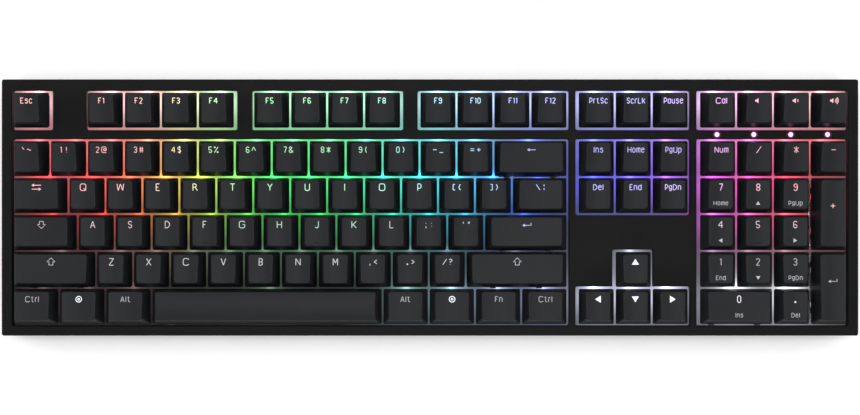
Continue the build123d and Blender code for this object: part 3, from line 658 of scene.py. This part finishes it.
# the bars that fingers feel for, on F, J and the pad's 5: body, middle, row
BARS = [
    ("home_row_keys", MAIN + 5.25 * UNIT, 3), ("home_row_keys", MAIN + 8.25 * UNIT, 3),
    ("pad_456_keys", PAD + 1.5 * UNIT, 3),
]
# length and width in millimetres, times as proud as a legend
BAR_LENGTH, BAR_WIDTH, BAR_PROUD = 3.0, 0.55, 6.0
BAR_V = 5.2 * MM


def make_bars():
    """Raised bars of the caps' own plastic near their front edge."""
    for number, (body, u, row) in enumerate(BARS):
        part = mark_mesh([], [[(-BAR_LENGTH / 2, 0), (BAR_LENGTH / 2, 0)]], line=BAR_WIDTH)
        for vert in part.verts:
            vert.co.z *= BAR_PROUD
        settle(part, cap_tree(body), u, row_v(row) - BAR_V)
        mesh = bpy.data.meshes.new(f"homing_bar_{number}")
        part.to_mesh(mesh)
        part.free()
        add_object(f"homing_bar_{number}", mesh, CAP, body)


# ---- Painted light on the plate ------------------------------------------------------------------

# Key blocks that the case opens for: block, first unit, first row, units wide, rows deep
OPENINGS = [
    ("main", 0, 0, 1, 1), ("main", 2, 0, 4, 1), ("main", 6.5, 0, 4, 1), ("main", 11, 0, 4, 1),
    ("nav", 0, 0, 3, 1), ("pad", 0, 0, 4, 1), ("main", 0, 1, 15, 5), ("nav", 0, 1, 3, 2),
    ("pad", 0, 1, 4, 5), ("nav", 0, 5, 3, 1), ("nav", 1, 4, 1, 1),
]
FILM = 0.05 * MM
CELL = 1.0 * MM


def painted_glow_sheet(block, start, row, units, rows):
    """Thin sheet of painted light on the plate within one opening."""
    left = BLOCKS[block] + start * UNIT - SIDE_MARGIN
    right = left + units * UNIT + 2 * SIDE_MARGIN
    rear = row_v(row) + UNIT / 2 + END_MARGIN
    front = rear - rows * UNIT - 2 * END_MARGIN
    columns, lines = [max(2, round(span / CELL)) for span in (right - left, rear - front)]
    us, vs = np.linspace(left, right, columns + 1), np.linspace(front, rear, lines + 1)
    bm = bmesh.new()
    glow = bm.verts.layers.float_color.new("glow")
    grid = []
    for v in vs:
        line = []
        for u in us:
            vert = bm.verts.new(DECK @ Vector((u, v, FILM)))
            vert[glow] = (*painted_glow_at(u, v), 1.0)
            line.append(vert)
        grid.append(line)
    for j in range(lines):
        for i in range(columns):
            bm.faces.new((grid[j][i], grid[j][i + 1], grid[j + 1][i + 1], grid[j + 1][i]))
    return bm


# one sheet of painted light per opening
def make_painted_glow():
    for number, opening in enumerate(OPENINGS):
        bm = painted_glow_sheet(*opening)
        mesh = bpy.data.meshes.new(f"plate_painted_glow_{number}")
        bm.to_mesh(mesh)
        bm.free()
        add_object(f"plate_painted_glow_{number}", mesh, PAINTED_PLATE_LIGHT, "root")


PIPE_RADIUS = 1.2 * MM
HALO_RADIUS = 2.2 * MM
# colour of the painted light next to the pipe, fading outwards
HALO_PAINTED_LIGHT = np.array((0.32, 0.01, 0.13))
HALO_LIFT = 0.02 * MM
HALO_RINGS, HALO_SPOKES, PIPES = 6, 32, 4


def make_halos():
    """Painted light that spills from the indicator lights onto the rim, as thin glowing rings."""
    middle = (row_v(0) + row_v(1)) / 2
    rings, spokes = HALO_RINGS, HALO_SPOKES
    for number in range(PIPES):
        bm = bmesh.new()
        glow = bm.verts.layers.float_color.new("glow")
        grid = []
        for ring in range(rings + 1):
            share = ring / rings
            radius = PIPE_RADIUS + (HALO_RADIUS - PIPE_RADIUS) * share
            line = []
            for spoke in range(spokes):
                angle = 2 * math.pi * spoke / spokes
                u = PAD + (number + 0.5) * UNIT + radius * math.cos(angle)
                v = middle + radius * math.sin(angle)
                vert = bm.verts.new(DECK @ Vector((u, v, RIM + HALO_LIFT)))
                vert[glow] = (*(HALO_PAINTED_LIGHT * (1 - share) ** 2), 1.0)
                line.append(vert)
            grid.append(line)
        for ring in range(rings):
            for spoke in range(spokes):
                after = (spoke + 1) % spokes
                near, far = grid[ring], grid[ring + 1]
                bm.faces.new((near[spoke], far[spoke], far[after], near[after]))
        mesh = bpy.data.meshes.new(f"signal_halo_{number}")
        bm.to_mesh(mesh)
        bm.free()
        add_object(f"signal_halo_{number}", mesh, HALO, "root")


# ---- Studio --------------------------------------------------------------------------------------

def softbox(name, place, size, power):
    """Area light that faces the origin."""
    data = bpy.data.lights.new(name, "AREA")
    data.shape = "RECTANGLE"
    data.size, data.size_y = size
    data.energy = power
    light = bpy.data.objects.new(name, data)
    light.location = place
    aim = -Vector(place)
    light.rotation_euler = aim.to_track_quat("-Z", "Y").to_euler()
    bpy.context.scene.collection.objects.link(light)


# name, place, width and height in metres, power in watts
SOFTBOXES = [
    ("top_softbox", NORMAL * 1.6, (1.1, 0.8), 10),
    ("left_softbox", (-1.2, 0.25, 0.7), (0.8, 1.4), 11),
    ("right_softbox", (1.2, 0.25, 0.7), (0.8, 1.4), 11),
    ("rear_softbox", (0, 1.3, 0.7), (1.6, 0.6), 7),
    ("front_softbox", (0, -1.4, 0.7), (1.6, 0.6), 14),
]
FLOOR_HALF = 3.0
WORLD_LEVEL = 0.16


def make_studio():
    mesh = bpy.data.meshes.new("floor")
    bm = bmesh.new()
    bmesh.ops.create_grid(bm, x_segments=1, y_segments=1, size=FLOOR_HALF)
    bm.to_mesh(mesh)
    bm.free()
    floor = bpy.data.objects.new("floor", mesh)
    bpy.context.scene.collection.objects.link(floor)
    mesh.materials.append(plastic("floor_paper", (0.93, 0.93, 0.93), 0.9, 2.0, 0.02, spread=0.01))
    for box in SOFTBOXES:
        softbox(*box)
    world = bpy.data.worlds.new("studio")
    bpy.context.scene.world = world
    world.use_nodes = True
    world.node_tree.nodes["Background"].inputs["Color"].default_value = (1, 1, 1, 1)
    world.node_tree.nodes["Background"].inputs["Strength"].default_value = WORLD_LEVEL
    bpy.context.scene.view_settings.view_transform = "Standard"


CAMERA_HEIGHT = 0.776
LENS, SENSOR = 62.5, 36


def make_camera():
    """Straight above the middle of the deck, looking along its normal."""
    data = bpy.data.cameras.new("camera")
    data.lens = LENS
    data.sensor_width = SENSOR
    camera = bpy.data.objects.new("camera", data)
    bpy.context.scene.collection.objects.link(camera)
    camera.matrix_world = DECK @ Matrix.Translation((0, 0, CAMERA_HEIGHT))
    bpy.context.scene.camera = camera


make_camera()
paint_nodes()
make_painted_glow()
make_halos()
make_legends()
make_bars()
make_studio()
